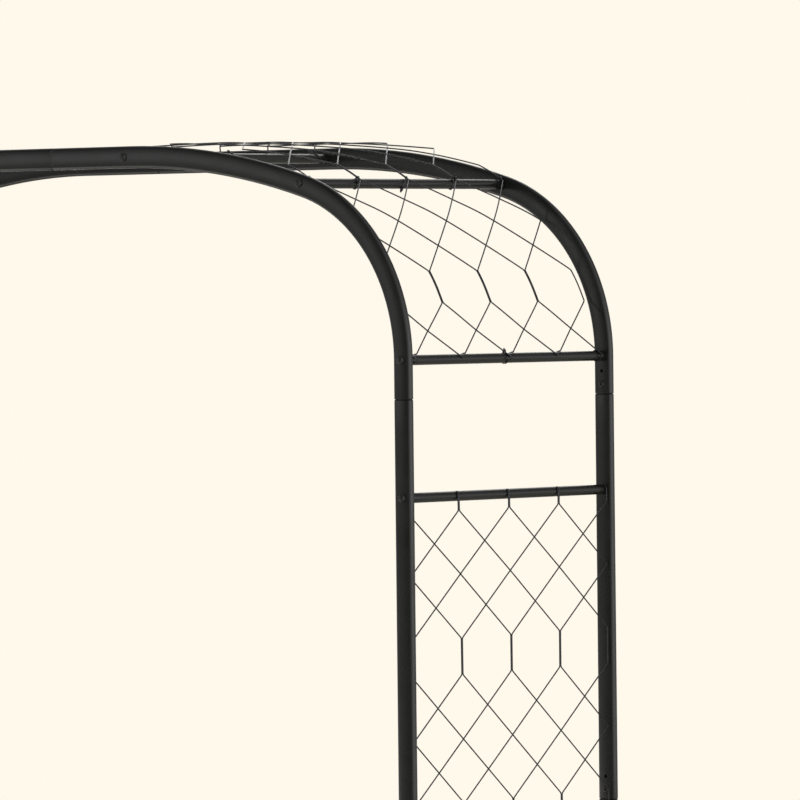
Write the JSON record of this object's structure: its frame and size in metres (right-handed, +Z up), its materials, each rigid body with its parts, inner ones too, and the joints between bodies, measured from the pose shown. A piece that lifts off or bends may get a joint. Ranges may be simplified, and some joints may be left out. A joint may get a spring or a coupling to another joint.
{
  "type": "metal trellis arch",
  "caption": "Wide walk-through garden arch of black oval steel tube with round cross bars and open diamond wire mesh down the sides and round the corners.",
  "frame": {"origin": "middle of the footprint, on the surface that the four feet stand on", "axes": "+X across the walk-through towards the right legs, +Y from the front frame to the back frame, +Z up"},
  "size_m": [1.6714, 0.4706, 2.2177],
  "materials": {
    "powder_coat": "black satin powder coat over steel tube",
    "wire_coat": "black coated steel wire, slightly glossier than the tube",
    "bolt_black": "black coated dome-head screw",
    "foot_plastic": "matte black moulded end cap",
    "tie_nylon": "black nylon cable tie"
  },
  "bodies": {
    "root": {"right_front_leg_lower": "powder_coat", "right_front_leg_middle": "powder_coat", "right_front_leg_upper": "powder_coat", "right_front_arch_short": "powder_coat", "right_front_foot_cap": "foot_plastic", "right_front_ridge_bar_bolt": "bolt_black", "right_front_shoulder_bar_bolt": "bolt_black", "right_front_spring_bar_bolt": "bolt_black", "right_front_high_bar_bolt": "bolt_black", "right_front_low_bar_bolt": "bolt_black", "right_back_leg_lower": "powder_coat", "right_back_leg_middle": "powder_coat", "right_back_leg_upper": "powder_coat", "right_back_arch_long": "powder_coat", "right_back_foot_cap": "foot_plastic", "right_back_ridge_bar_bolt": "bolt_black", "right_back_shoulder_bar_bolt": "bolt_black", "right_back_spring_bar_bolt": "bolt_black", "right_back_high_bar_bolt": "bolt_black", "right_back_low_bar_bolt": "bolt_black", "right_ridge_bar": "powder_coat", "right_shoulder_bar": "powder_coat", "right_spring_bar": "powder_coat", "right_high_bar": "powder_coat", "right_low_bar": "powder_coat", "right_side_mesh": "wire_coat", "right_corner_mesh": "wire_coat", "right_ridge_bar_tie": "tie_nylon", "right_shoulder_bar_tie": "tie_nylon", "right_spring_bar_tie": "tie_nylon", "left_front_leg_lower": "powder_coat", "left_front_leg_middle": "powder_coat", "left_front_leg_upper": "powder_coat", "left_front_arch_long": "powder_coat", "left_front_foot_cap": "foot_plastic", "left_front_ridge_bar_bolt": "bolt_black", "left_front_shoulder_bar_bolt": "bolt_black", "left_front_spring_bar_bolt": "bolt_black", "left_front_high_bar_bolt": "bolt_black", "left_front_low_bar_bolt": "bolt_black", "left_back_leg_lower": "powder_coat", "left_back_leg_middle": "powder_coat", "left_back_leg_upper": "powder_coat", "left_back_arch_short": "powder_coat", "left_back_foot_cap": "foot_plastic", "left_back_ridge_bar_bolt": "bolt_black", "left_back_shoulder_bar_bolt": "bolt_black", "left_back_spring_bar_bolt": "bolt_black", "left_back_high_bar_bolt": "bolt_black", "left_back_low_bar_bolt": "bolt_black", "left_ridge_bar": "powder_coat", "left_shoulder_bar": "powder_coat", "left_spring_bar": "powder_coat", "left_high_bar": "powder_coat", "left_low_bar": "powder_coat", "left_side_mesh": "wire_coat", "left_corner_mesh": "wire_coat", "left_ridge_bar_tie": "tie_nylon", "left_shoulder_bar_tie": "tie_nylon", "left_spring_bar_tie": "tie_nylon"}
  },
  "joints": []
}
